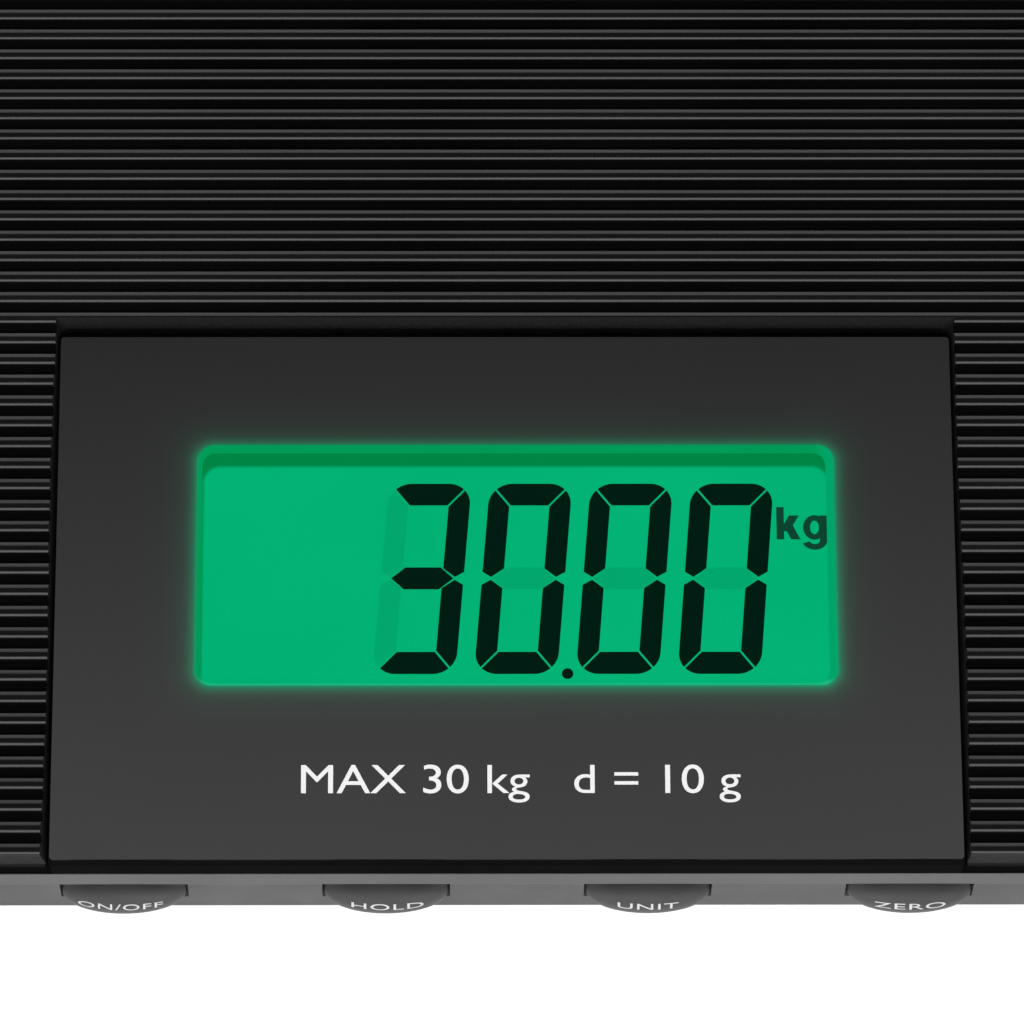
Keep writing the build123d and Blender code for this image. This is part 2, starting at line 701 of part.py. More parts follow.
def platform_slab(z_low, z_high, inset):
    """A slab of the U-shaped platform outline, inset from its edges, between two heights."""
    margin = plate_inset + inset
    with BuildPart() as piece:
        add(slab(z_low, z_high, margin))
        half = notch_width / 2 + inset
        back = notch_back + inset
        add(block(-half, half, front_y - 1, back, z_low - 1, z_high + 1), mode=Mode.SUBTRACT)
        tips = piece.edges().filter_by(Axis.Z).filter_by_position(Axis.Y, back - 0.1, back + 0.1)
        fillet(tips, 2.0)
    return piece.part


socket_wall = 2.0
rib_bottom = plate_bottom - plate_rib_depth
rib_inset = ledge_width + 4.0 - plate_inset

with BuildPart() as plate_ribs:
    add(platform_slab(rib_bottom, plate_bottom, rib_inset))
    cell_size = plate_rib_pitch - plate_rib_width
    with BuildSketch(level(rib_bottom)):
        with GridLocations(plate_rib_pitch, plate_rib_pitch, 6, 6):
            Rectangle(cell_size, cell_size)
    extrude(amount=plate_rib_depth, mode=Mode.SUBTRACT)

with BuildPart() as platform_plate:
    add(platform_slab(plate_bottom, plate_top, 0))
    add(plate_ribs.part)
    add(pillars(post_spots, post_radius + 0.3 + socket_wall, rib_bottom, plate_bottom + 0.1))
    add(pillars(post_spots, post_radius + 0.3, rib_bottom - 1, plate_bottom), mode=Mode.SUBTRACT)
platform_plate.part.label = "platform_plate"
export_step(platform_plate.part, "parts/platform_plate.step")

mat_front = front_y + plate_inset
mat_back = back_y - plate_inset
groove_width = rib_pitch - rib_land
groove_count = int((mat_back - mat_front - rib_land) / rib_pitch)
first_groove = mat_front + rib_land + groove_width / 2
groove_mid = first_groove + (groove_count - 1) * rib_pitch / 2

with BuildPart() as rubber_mat:
    add(platform_slab(plate_top, mat_top, 0))
    with BuildSketch(Plane((0, groove_mid, mat_top - groove_depth / 2), x_dir=(0, 1, 0), z_dir=(1, 0, 0))):
        with GridLocations(rib_pitch, 1, groove_count, 1):
            Trapezoid(groove_width, groove_depth, 80, rotation=180)
    extrude(amount=body_width, both=True, mode=Mode.SUBTRACT)
rubber_mat.part.label = "rubber_mat"
export_step(rubber_mat.part, "parts/rubber_mat.step")

# ---- battery bay: cells, contacts, door ----

plate_contact = 0.5
contact_half = 4.5
contact_low = cell_z - 4.0
contact_high = cell_z + 5.0
leaf_half = 2.5
plus_nub = 1.3
nub_radius = 2.75

with BuildPart() as battery_cells:
    for i, x in enumerate(cell_x):
        turned = 1 if i % 2 == 0 else -1
        plus_end = bay_back - plate_contact if turned > 0 else bay_front + plate_contact
        with Locations(Plane((x, plus_end, cell_z), z_dir=(0, -turned, 0))):
            Cylinder(nub_radius, plus_nub + 0.5, align=(Align.CENTER, Align.CENTER, Align.MIN))
        with Locations(Plane((x, plus_end - turned * plus_nub, cell_z), z_dir=(0, -turned, 0))):
            Cylinder(battery_radius, battery_length - plus_nub, align=(Align.CENTER, Align.CENTER, Align.MIN))
battery_cells.part.label = "battery_cells"
export_step(battery_cells.part, "parts/battery_cells.step")

leaf_reach = bay_length - battery_length - plate_contact
with BuildPart() as battery_contacts:
    for i, x in enumerate(cell_x):
        turned = 1 if i % 2 == 0 else -1
        plus_wall = bay_back if turned > 0 else bay_front
        minus_wall = bay_front if turned > 0 else bay_back
        low, high = sorted((plus_wall, plus_wall - turned * plate_contact))
        add(block(x - contact_half, x + contact_half, low, high, contact_low, contact_high))
        low, high = sorted((minus_wall, minus_wall + turned * plate_contact))
        add(block(x - contact_half, x + contact_half, low, high, contact_low, contact_high))
        with BuildSketch(Plane((x, 0, 0), x_dir=(0, 1, 0), z_dir=(1, 0, 0))):
            with BuildLine():
                Polyline((minus_wall + turned * 0.25, cell_z + 4.5),
                         (minus_wall + turned * (leaf_reach - 0.45), cell_z),
                         (minus_wall + turned * 1.0, cell_z - 3.5))
            trace(line_width=plate_contact)
        extrude(amount=leaf_half, both=True)
battery_contacts.part.label = "battery_contacts"
export_step(battery_contacts.part, "parts/battery_contacts.step")

door_top = foot_proud + door_thickness
door_lead = hinge_y + 0.3
door_slope = 1.4

with BuildPart() as battery_door:
    with BuildSketch(Plane((0, 0, 0), x_dir=(0, 1, 0), z_dir=(1, 0, 0))):
        with BuildLine():
            Polyline((door_lead, door_top), (door_back - door_play, door_top),
                     (door_back - door_play, foot_proud), (door_lead + door_slope, foot_proud), close=True)
        make_face()
    extrude(amount=door_half - door_play, both=True)
    for x in (-tab_x, tab_x):
        with BuildSketch(Plane((x, hinge_y, hinge_z), x_dir=(0, 1, 0), z_dir=(1, 0, 0))):
            Circle(hook_outer)
            Circle(hook_inner, mode=Mode.SUBTRACT)
            Rectangle(hook_outer, hook_outer, align=(Align.MAX, Align.MAX), mode=Mode.SUBTRACT)
        extrude(amount=tab_width / 2, both=True)
    add(block(-5, 5, bay_back - 1.9, bay_back - 0.4, door_top - 0.2, door_top + 0.7))
    with Locations(*[(0, door_back - 9 - i * 3.0, foot_proud) for i in range(4)]):
        Box(26, 1.0, 0.6, mode=Mode.SUBTRACT)
battery_door.part.label = "battery_door"
export_step(battery_door.part, "parts/battery_door.step")

# ---- feet, case screws, power socket ----

with BuildPart() as rubber_feet:
    add(pillars(foot_spots, foot_radius, 0, foot_proud + foot_sunk))
    fillet(rubber_feet.edges().filter_by(GeomType.CIRCLE).group_by(Axis.Z)[0], 0.8)
rubber_feet.part.label = "rubber_feet"
export_step(rubber_feet.part, "parts/rubber_feet.step")

with BuildPart() as case_screws:
    add(pan_screws(case_spots, screw_shank - 0.02, well_floor - 1.2, foot_proud + case_recess, 3.0, 2.0, -1))
case_screws.part.label = "case_screws"
export_step(case_screws.part, "parts/case_screws.step")

socket_radius = 2.9
pin_radius = 1.0
socket_depth = 9.5

with BuildPart() as dc_jack:
    add(around_jack(0, jack_face_y - jack_length, jack_face_y))
    with Locations(Plane((jack_x, jack_face_y, jack_z), z_dir=(0, 1, 0))):
        Hole(socket_radius, depth=socket_depth)
    with Locations(Plane((jack_x, jack_face_y - socket_depth, jack_z), z_dir=(0, 1, 0))):
        Cylinder(pin_radius, socket_depth - 1.0, align=(Align.CENTER, Align.CENTER, Align.MIN))
dc_jack.part.label = "dc_jack"
export_step(dc_jack.part, "parts/dc_jack.step")

# ---- inner wiring, each lead held between its two ends ----

header_mouth = header_y + header_depth / 2
header_z = board_bottom - header_drop / 2
jack_back = jack_face_y - jack_length
bay_face = bay_front - bay_wall

with BuildPart() as cell_cable:
    add(lead([(-cell_length / 2, body_y, 15), (-54, body_y, 15), (-66, -24, 14), (-58, header_mouth + 34, 15),
              (header_x[0], header_mouth + 20, header_z), (header_x[0], header_mouth, header_z)], 3.0, 8.0))
cell_cable.part.label = "cell_cable"
export_step(cell_cable.part, "parts/cell_cable.step")

with BuildPart() as battery_leads:
    for shift in (0.0, lead_spacing):
        end = header_x[2] + shift
        add(lead([(12 + shift, bay_face, 15), (12 + shift, bay_face - 14 + shift, 15),
                  (52 + shift, bay_face - 22 + shift, 14), (52 + shift, header_mouth + 56, 14),
                  (end, header_mouth + 24, header_z), (end, header_mouth, header_z)], 1.5, 7.0))
battery_leads.part.label = "battery_leads"
export_step(battery_leads.part, "parts/battery_leads.step")

with BuildPart() as socket_leads:
    for shift in (0.0, lead_spacing):
        end = header_x[3] + 1.3 - shift
        add(lead([(jack_x - shift, jack_back, 14), (jack_x - shift, jack_back - 16, 14), (92 - shift, 60, 13),
                  (70 - shift, 0, 13), (end + 1.7, header_mouth + 26, 14), (end, header_mouth + 10, header_z),
                  (end, header_mouth, header_z)], 1.5, 5.0))
socket_leads.part.label = "socket_leads"
export_step(socket_leads.part, "parts/socket_leads.step")
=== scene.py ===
"""Looks of the platform shipping scale: ribbed mat, printed panel, lit LCD, key words, light and camera."""

import math

import bmesh
import bpy
from mathutils import Matrix, Vector


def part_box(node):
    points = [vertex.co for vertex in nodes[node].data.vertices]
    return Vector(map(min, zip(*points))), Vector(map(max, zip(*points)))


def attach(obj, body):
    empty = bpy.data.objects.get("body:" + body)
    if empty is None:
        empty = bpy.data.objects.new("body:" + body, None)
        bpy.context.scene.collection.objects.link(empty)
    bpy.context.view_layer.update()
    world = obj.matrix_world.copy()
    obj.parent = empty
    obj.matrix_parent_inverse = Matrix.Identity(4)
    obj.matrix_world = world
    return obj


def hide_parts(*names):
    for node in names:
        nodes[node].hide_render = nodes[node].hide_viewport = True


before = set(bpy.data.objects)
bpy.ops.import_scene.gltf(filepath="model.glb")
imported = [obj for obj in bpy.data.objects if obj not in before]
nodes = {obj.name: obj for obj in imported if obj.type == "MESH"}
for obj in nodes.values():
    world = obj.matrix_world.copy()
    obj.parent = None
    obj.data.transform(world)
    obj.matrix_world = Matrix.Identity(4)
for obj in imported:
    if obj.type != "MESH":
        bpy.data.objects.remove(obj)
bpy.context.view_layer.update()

MM = 0.001

# ---- places read from the frame, in metres ----

panel_low, panel_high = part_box("panel_overlay")
_, lens_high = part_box("display_lens")
mat_low, mat_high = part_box("rubber_mat")
lcd_low, lcd_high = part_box("lcd_glass")
panel_mid = (panel_low + panel_high) / 2
lcd_mid = (lcd_low + lcd_high) / 2
body_low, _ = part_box("base_pan")

WINDOW_WIDTH = 86.8 * MM
WINDOW_DEPTH = 34.8 * MM
WINDOW_RADIUS = 2.2 * MM
window_mid = Vector((lcd_mid.x, lcd_mid.y, panel_high.z))

# ---- small helpers ----


def link(obj):
    """Puts an object in the scene."""
    bpy.context.scene.collection.objects.link(obj)
    return obj


def mesh_object(name, verts, faces, material):
    """A mesh object from plain lists."""
    mesh = bpy.data.meshes.new(name)
    mesh.from_pydata([tuple(v) for v in verts], [], faces)
    mesh.validate()
    mesh.materials.append(material)
    return link(bpy.data.objects.new(name, mesh))


def srgb(r, g, b):
    """An 8-bit sRGB colour as linear light."""
    def one(c):
        c = c / 255
        return c / 12.92 if c <= 0.04045 else ((c + 0.055) / 1.055) ** 2.4
    return (one(r), one(g), one(b), 1.0)


def grey(value):
    """A linear grey."""
    return (value, value, value, 1.0)


class Shader:
    """A material's node tree, with short calls for the nodes that the materials here share."""

    def __init__(self, name):
        self.material = bpy.data.materials.new(name)
        self.material.use_nodes = True
        self.tree = self.material.node_tree
        self.bsdf = self.tree.nodes["Principled BSDF"]
        self.place = None

    def node(self, kind, **settings):
        made = self.tree.nodes.new(kind)
        for key, value in settings.items():
            setattr(made, key, value)
        return made

    def feed(self, socket, value):
        """Sets a socket, or links another node's output to it."""
        if isinstance(value, bpy.types.NodeSocket):
            self.tree.links.new(value, socket)
        else:
            socket.default_value = value

    def put(self, **values):
        """Sets sockets of the Principled BSDF by name, with _ for a space."""
        for key, value in values.items():
            self.feed(self.bsdf.inputs[key.replace("_", " ")], value)

    def math(self, operation, a, b=0.0, c=0.0):
        made = self.node("ShaderNodeMath", operation=operation)
        for socket, value in zip(made.inputs, (a, b, c)):
            self.feed(socket, value)
        return made.outputs[0]

    def coords(self, scale=(1, 1, 1)):
        """Object coordinates, in metres, stretched by scale."""
        if self.place is None:
            self.place = self.node("ShaderNodeTexCoord").outputs["Object"]
        mapping = self.node("ShaderNodeMapping")
        self.feed(mapping.inputs["Vector"], self.place)
        mapping.inputs["Scale"].default_value = scale
        return mapping.outputs[0]

    def noise(self, scale, detail=3.0, rough=0.55, stretch=(1, 1, 1)):
        made = self.node("ShaderNodeTexNoise")
        self.feed(made.inputs["Vector"], self.coords(stretch))
        made.inputs["Scale"].default_value = scale
        made.inputs["Detail"].default_value = detail
        made.inputs["Roughness"].default_value = rough
        return made.outputs["Fac"]

    def span(self, value, low, high, to_low, to_high):
        """Maps a value from one range to another, and stops at the ends."""
        made = self.node("ShaderNodeMapRange")
        made.clamp = True
        for socket, v in zip(made.inputs, (value, low, high, to_low, to_high)):
            self.feed(socket, v)
        return made.outputs[0]

    def mix(self, share, a, b):
        """Mixes two colours."""
        made = self.node("ShaderNodeMix", data_type="RGBA")
        self.feed(made.inputs[0], share)
        self.feed(made.inputs[6], a)
        self.feed(made.inputs[7], b)
        return made.outputs[2]

    def bump(self, height, strength, distance, under=None):
        made = self.node("ShaderNodeBump")
        made.inputs["Strength"].default_value = strength
        made.inputs["Distance"].default_value = distance
        self.feed(made.inputs["Height"], height)
        if under is not None:
            self.feed(made.inputs["Normal"], under)
        return made.outputs[0]

    def axes(self):
        """Object x, y and z."""
        made = self.node("ShaderNodeSeparateXYZ")
        self.feed(made.inputs[0], self.coords())
        return made.outputs

    def rounded_box(self, centre, half, radius):
        """Signed distance, in metres, to a rounded rectangle in the XY plane."""
        x, y, _ = self.axes()
        from_x = self.math("ABSOLUTE", self.math("SUBTRACT", x, centre[0]))
        from_y = self.math("ABSOLUTE", self.math("SUBTRACT", y, centre[1]))
        qx = self.math("SUBTRACT", from_x, half[0] - radius)
        qy = self.math("SUBTRACT", from_y, half[1] - radius)
        px, py = self.math("MAXIMUM", qx, 0.0), self.math("MAXIMUM", qy, 0.0)
        squares = self.math("ADD", self.math("MULTIPLY", px, px), self.math("MULTIPLY", py, py))
        far = self.math("SQRT", squares)
        near = self.math("MINIMUM", self.math("MAXIMUM", qx, qy), 0.0)
        return self.math("SUBTRACT", self.math("ADD", far, near), radius)


# ---- materials ----

COVER_CORNER = 14.0 * MM
COVER_RIM = 1.12 * MM
COVER_RIM_BLEND = 0.06 * MM
LENS_TOP_SKIN = 0.25 * MM
LENS_CLEAR_MARGIN = 0.5 * MM
FIELD_RADIUS = 2.6 * MM
BORDER_RIGHT_FROM = 41.0 * MM
BORDER_RIGHT_TO = 42.5 * MM
BORDER_FRONT_FROM = 17.0 * MM
BORDER_FRONT_TO = 16.4 * MM
CELL_BAND_REPEAT = 18.0 * MM
CELL_BAND_START = 12.0 * MM


def plastic(name, colour, roughness=0.5, grain=2600.0, depth=0.03, strength=0.35, vary=0.12, gloss=0.5):
    """Moulded plastic with a fine eroded grain, faint colour clouds and worn, smoother spots."""
    s = Shader(name)
    clouds = s.noise(38.0, 4.0)
    fine = s.noise(grain, 2.0)
    dark = tuple(c * (1 - vary) for c in colour[:3]) + (1.0,)
    light = tuple(min(1.0, c * (1 + vary)) for c in colour[:3]) + (1.0,)
    s.put(Base_Color=s.mix(s.span(clouds, 0.3, 0.7, 0.0, 1.0), dark, light), Specular_IOR_Level=gloss)
    wear_and_painted_shade = s.noise(120.0, 5.0)
    s.put(Roughness=s.span(wear_and_painted_shade, 0.3, 0.75, roughness - 0.06, roughness + 0.08))
    s.put(Normal=s.bump(fine, strength, depth * MM))
    return s.material


def key_plastic():
    """Key caps: matt, with painted shade under the ledge that turns to a painted sheen towards the lower rim.
    """
    s = Shader("key_plastic")
    low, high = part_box("hold_key")
    _, _, z = s.axes()
    # Painted shade and sheen: the base colour runs from dark under the ledge to light at the lower rim.
    wear_and_painted_shade = s.span(z, low.z + 1.2 * MM, high.z - 0.4 * MM, 1.0, 0.0)
    s.put(Base_Color=s.mix(wear_and_painted_shade, grey(0.030), grey(0.160)), Specular_IOR_Level=0.35)
    s.put(Roughness=s.span(s.noise(160.0, 4.0), 0.3, 0.7, 0.50, 0.60))
    s.put(Normal=s.bump(s.noise(3000.0, 2.0), 0.25, 0.02 * MM))
    return s.material


def cover_plastic(colour):
    """The top cover: body plastic on its rim, and painted shade on the deck inside it, near-black as if in
    shadow.
    """
    s = Shader("cover_plastic")
    rim_low, rim_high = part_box("top_cover")
    centre = (rim_low + rim_high) / 2
    half = ((rim_high.x - rim_low.x) / 2, (rim_high.y - rim_low.y) / 2)
    inside = s.rounded_box(centre, half, COVER_CORNER)
    clouds = s.span(s.noise(38.0, 4.0), 0.3, 0.7, 0.0, 1.0)
    rim = s.mix(clouds, grey(colour * 0.9), grey(colour * 1.1))
    # Painted shade: inside the rim the deck is painted near-black, rougher and barely reflecting.
    shaded_deck = s.span(inside, -COVER_RIM, COVER_RIM_BLEND - COVER_RIM, 1.0, 0.0)
    s.put(Base_Color=s.mix(shaded_deck, rim, grey(0.004)), Roughness=s.span(shaded_deck, 0.0, 1.0, 0.52, 0.8))
    s.put(Specular_IOR_Level=s.span(shaded_deck, 0.0, 1.0, 0.5, 0.05))
    s.put(Normal=s.bump(s.noise(2400.0, 2.0), 0.5, 0.05 * MM))
    return s.material


def metal(name, colour, roughness=0.32, stretch=(1, 14, 1), scale=160.0):
    """Metal with drawn streaks along one direction."""
    s = Shader(name)
    streaks = s.noise(scale, 5.0, 0.6, stretch)
    dark = tuple(c * 0.8 for c in colour[:3]) + (1.0,)
    s.put(Base_Color=s.mix(s.span(streaks, 0.3, 0.7, 0.0, 1.0), dark, colour), Metallic=1.0)
    s.put(Roughness=s.span(streaks, 0.3, 0.7, roughness - 0.08, roughness + 0.1))
    s.put(Normal=s.bump(streaks, 0.15, 0.02 * MM))
    return s.material


def mat_rubber():
    """Black ribbed rubber: satin ribs with fine streaks drawn along them, a little dust, and painted shade in
    the grooves.
    """
    s = Shader("mat_rubber")
    streaks = s.noise(900.0, 4.0, 0.6, (0.02, 1, 1))
    cloud = s.noise(30.0, 4.0)
    dust = s.noise(1700.0, 2.0)
    speck = s.span(dust, 0.70, 0.80, 0.0, 0.35)
    base = s.mix(s.span(cloud, 0.3, 0.7, 0.0, 1.0), grey(0.0015), grey(0.0028))
    _, _, z = s.axes()
    s.put(Base_Color=s.mix(speck, base, grey(0.010)))
    # Painted shade: the groove bottoms reflect far less than the rib tops, so the grooves read dark.
    s.put(Specular_IOR_Level=s.span(z, mat_high.z - 1.05 * MM, mat_high.z - 0.45 * MM, 0.04, 0.34))
    s.put(Roughness=s.span(streaks, 0.3, 0.7, 0.26, 0.36))
    fine = s.bump(s.noise(4200.0, 2.0), 0.12, 0.01 * MM)
    s.put(Normal=s.bump(streaks, 0.10, 0.03 * MM, fine))
    return s.material


def cut_rubber():
    """The mat's cut edges: matt, grainy and a little lighter than its moulded face."""
    s = Shader("cut_rubber")
    rough = s.noise(2300.0, 6.0, 0.7)
    saw = s.noise(700.0, 3.0, 0.6, (1, 1, 0.25))
    s.put(Base_Color=s.mix(s.span(rough, 0.35, 0.7, 0.0, 1.0), grey(0.004), grey(0.020)), Roughness=0.85)
    s.put(Specular_IOR_Level=0.35, Normal=s.bump(rough, 0.9, 0.12 * MM, s.bump(saw, 0.5, 0.1 * MM)))
    return s.material


def overlay_film():
    """Printed film of the panel: smooth dark grey with a painted reflection lighter towards the front,
    painted shade on its side faces, and green light leaking out round the window.
    """
    s = Shader("overlay_film")
    cloud = s.noise(24.0, 3.0)
    _, y, z = s.axes()
    # Painted reflection: the film's grey grows lighter towards its front edge.
    front_reflection_share = s.span(y, panel_low.y, panel_high.y, 1.0, 0.0)
    on_top = s.span(z, panel_high.z - 0.03 * MM, panel_high.z - 0.015 * MM, 0.0, 1.0)
    film = s.mix(front_reflection_share, grey(0.016), grey(0.044))
    # Painted shade: the film's side faces, below its top, are painted near-black and barely reflect.
    film = s.mix(on_top, grey(0.003), film)
    film = s.mix(s.span(cloud, 0.3, 0.7, 0.0, 0.06), film, grey(0.0))
    away = s.rounded_box(window_mid, (WINDOW_WIDTH / 2, WINDOW_DEPTH / 2), WINDOW_RADIUS)
    near = s.span(away, 0.0, 0.9 * MM, 0.75, 0.0)
    s.put(Base_Color=s.mix(near, film, grey(0.0)), Specular_IOR_Level=0.4, Roughness=0.36)
    s.put(IOR=s.span(on_top, 0.0, 1.0, 1.02, 1.45))
    s.put(Normal=s.bump(s.noise(3500.0, 2.0), 0.04, 0.004 * MM))
    close = s.math("MULTIPLY", s.math("EXPONENT", s.math("DIVIDE", away, -0.50 * MM)), 0.25)
    wide = s.math("MULTIPLY", s.math("EXPONENT", s.math("DIVIDE", away, -1.9 * MM)), 0.045)
    s.put(Emission_Color=(0.0, 1.0, 0.45, 1.0), Emission_Strength=s.math("ADD", close, wide))
    return s.material


def clear_lens():
    """Acrylic: clear in the window, and painted black behind everywhere else."""
    s = Shader("clear_lens")
    half = (WINDOW_WIDTH / 2 + LENS_CLEAR_MARGIN, WINDOW_DEPTH / 2 + LENS_CLEAR_MARGIN)
    away = s.rounded_box(window_mid, half, WINDOW_RADIUS)
    scuff = s.noise(260.0, 4.0)
    _, _, z = s.axes()
    s.put(Base_Color=grey(0.005), Roughness=s.span(scuff, 0.3, 0.7, 0.20, 0.26))
    skin_low = lens_high.z - LENS_TOP_SKIN - 0.01 * MM
    skin_high = lens_high.z - LENS_TOP_SKIN + 0.01 * MM
    s.put(IOR=s.span(z, skin_low, skin_high, 1.02, 1.45))
    s.put(Specular_IOR_Level=s.span(z, skin_low, skin_high, 0.02, 0.25))
    s.put(Alpha=s.span(away, -0.1 * MM, 0.0, 0.045, 1.0))
    return s.material


def lcd_face():
    """Back-lit LCD: even green, with a shadow band along the back edge and down the left edge."""
    s = Shader("lcd_face")
    field_mid = (lcd_mid.x + 0.05 * MM, lcd_mid.y - 1.60 * MM)
    half = (WINDOW_WIDTH / 2 - 0.30 * MM, WINDOW_DEPTH / 2 + 0.20 * MM)
    away = s.rounded_box(field_mid, half, FIELD_RADIUS)
    glow = s.noise(30.0, 2.0)
    green = s.mix(s.span(glow, 0.3, 0.7, 0.0, 1.0), srgb(0, 183, 119), srgb(3, 187, 123))
    shade = s.span(away, -0.55 * MM, 0.0, 0.0, 1.0)
    s.put(Base_Color=grey(0.0), Specular_IOR_Level=0.0, Roughness=0.6)
    s.put(Emission_Color=s.mix(shade, green, srgb(0, 139, 71)), Emission_Strength=1.0)
    return s.material


def lit_print(name, colour, vary=0.05):
    """A flat lit or printed mark on the display, in one colour with faint clouds."""
    s = Shader(name)
    cloud = s.noise(240.0, 3.0)
    darker = tuple(c * (1 - vary) for c in colour[:3]) + (1.0,)
    s.put(Base_Color=grey(0.0), Specular_IOR_Level=0.0, Roughness=0.6)
    s.put(Emission_Color=s.mix(s.span(cloud, 0.3, 0.7, 0.0, 1.0), darker, colour), Emission_Strength=1.0)
    return s.material


def border_light():
    """The glowing edge of the window, painted light for its lit inner wall: brighter green towards its front
    and right.
    """
    s = Shader("border_light")
    x, y, _ = s.axes()
    # Painted light: the glow is brighter towards the strip's right and front edges.
    right = s.span(x, lcd_mid.x + BORDER_RIGHT_FROM, lcd_mid.x + BORDER_RIGHT_TO, 0.0, 1.0)
    front = s.span(y, window_mid.y - BORDER_FRONT_FROM, window_mid.y - BORDER_FRONT_TO, 1.0, 0.0)
    colour = s.mix(s.span(s.noise(60.0), 0.3, 0.7, 0.0, 1.0), srgb(0, 152, 84), srgb(0, 158, 90))
    colour = s.mix(right, colour, srgb(0, 164, 104))
    s.put(Base_Color=grey(0.0), Specular_IOR_Level=0.0, Roughness=0.6)
    s.put(Emission_Color=s.mix(front, colour, srgb(30, 182, 130)), Emission_Strength=1.0)
    return s.material


def white_ink(name, level, roughness=0.45):
    """Screen-printed white ink."""
    s = Shader(name)
    ink = s.noise(1800.0, 3.0)
    shade = s.mix(s.span(ink, 0.3, 0.7, 0.0, 1.0), grey(level * 0.93), grey(level))
    s.put(Base_Color=shade, Roughness=roughness)
    s.put(Normal=s.bump(ink, 0.1, 0.01 * MM), Specular_IOR_Level=0.4)
    return s.material


def board():
    """Circuit board: green solder mask over faint copper tracks."""
    s = Shader("solder_mask")
    brick = s.node("ShaderNodeTexBrick")
    s.feed(brick.inputs["Vector"], s.coords())
    brick.inputs["Scale"].default_value = 330.0
    brick.inputs["Color1"].default_value = (0.012, 0.11, 0.04, 1.0)
    brick.inputs["Color2"].default_value = (0.014, 0.13, 0.045, 1.0)
    brick.inputs["Mortar"].default_value = (0.03, 0.24, 0.08, 1.0)
    s.put(Base_Color=brick.outputs["Color"], Roughness=s.span(s.noise(300.0), 0.3, 0.7, 0.25, 0.35))
    s.put(Normal=s.bump(brick.outputs["Fac"], 0.3, 0.03 * MM))
    return s.material


def cell_jacket():
    """Printed jacket of an AA cell: dark with a copper-coloured band at one end of each."""
    s = Shader("cell_jacket")
    _, y, _ = s.axes()
    along = s.math("PINGPONG", y, CELL_BAND_REPEAT)
    band = s.span(along, CELL_BAND_START, CELL_BAND_START + 0.3 * MM, 0.0, 1.0)
    scuff = s.noise(500.0, 4.0)
    s.put(Base_Color=s.mix(band, grey(0.02), (0.55, 0.22, 0.06, 1.0)), Metallic=0.6)
    s.put(Roughness=s.span(scuff, 0.3, 0.7, 0.25, 0.4))
    return s.material


def floor_paint():
    """Pale studio floor."""
    s = Shader("pale_floor")
    cloud = s.noise(3.0, 3.0)
    s.put(Base_Color=s.mix(cloud, grey(0.86), grey(0.9)), Roughness=0.9, Specular_IOR_Level=0.1)
    s.put(Emission_Color=grey(1.0), Emission_Strength=0.22)
    return s.material


def dress(names, material):
    """Gives CAD nodes a material in every slot."""
    for name in names:
        mesh = nodes[name].data
        mesh.materials.clear()
        mesh.materials.append(material)


def dress_cad():
    """Every carried-over CAD node gets its own finish."""
    # Painted shade: base_pan and battery_door get a darker grey than the cover's rim, so the body's front
    # face reads darker than the lit ledge above it.
    body = plastic("shaded_body_plastic", grey(0.056), 0.56, 2400.0, 0.05, 0.5)
    dress(["base_pan", "battery_door"], body)
    dress(["top_cover"], cover_plastic(0.104))
    housing = plastic("housing_plastic", grey(0.006), 0.7, 3000.0, 0.02, 0.2, 0.12, 0.06)
    housing.node_tree.nodes["Principled BSDF"].inputs["IOR"].default_value = 1.05
    dress(["display_housing"], housing)
    dress(["panel_overlay"], overlay_film())
    dress(["display_lens"], clear_lens())
    dress(["lcd_glass"], lcd_face())
    dress(["platform_plate"], plastic("plate_plastic", grey(0.006), 0.75, 2200.0, 0.04, 0.4, 0.12, 0.15))
    keys = key_plastic()
    words = ("on_off", "hold", "unit", "zero")
    dress([f"{n}_key" for n in words], keys)
    plungers = [f"{n}_plunger" for n in words]
    dress(plungers + ["key_switches"], plastic("switch_plastic", grey(0.03), 0.45))
    dress(["lcd_holder", "wire_headers"], plastic("white_plastic", (0.68, 0.68, 0.64, 1.0), 0.45))
    dress(["backlight"], plastic("guide_acrylic", (0.6, 0.85, 0.7, 1.0), 0.3))
    dress(["zebra_strips"], plastic("elastomer", (0.22, 0.2, 0.24, 1.0), 0.7, 5200.0))
    dress(["main_board", "key_board"], board())
    dress(["board_chips"], plastic("chip_resin", grey(0.018), 0.5, 1800.0))
    dress(["key_ribbon"], plastic("ribbon_film", grey(0.62), 0.35))
    dress(["rubber_posts", "rubber_feet"], plastic("foot_rubber", grey(0.016), 0.75, 1500.0, 0.08, 0.6))
    steel = metal("zinc_steel", grey(0.55), 0.34)
    screws = ("board", "key_board", "cell", "stop", "case", "spider")
    dress([f"{n}_screws" for n in screws], steel)
    sheet = metal("sheet_steel", (0.5, 0.51, 0.53, 1.0), 0.42, (1, 6, 1), 90.0)
    dress(["load_spider", "cell_bracket"], sheet)
    dress(["load_cell", "cell_spacer"], metal("machined_aluminium", grey(0.72), 0.3, (20, 1, 1), 120.0))
    dress(["battery_contacts"], metal("nickel", (0.62, 0.6, 0.54, 1.0), 0.28))
    dress(["battery_cells"], cell_jacket())
    dress(["dc_jack"], plastic("socket_resin", grey(0.02), 0.35, 2800.0))
    dress(["cell_cable"], plastic("cable_sheath", grey(0.22), 0.5))
    dress(["battery_leads"], plastic("red_sheath", (0.42, 0.02, 0.012, 1.0), 0.42))
    dress(["socket_leads"], plastic("black_sheath", grey(0.015), 0.42))


# ---- the ribbed mat ----

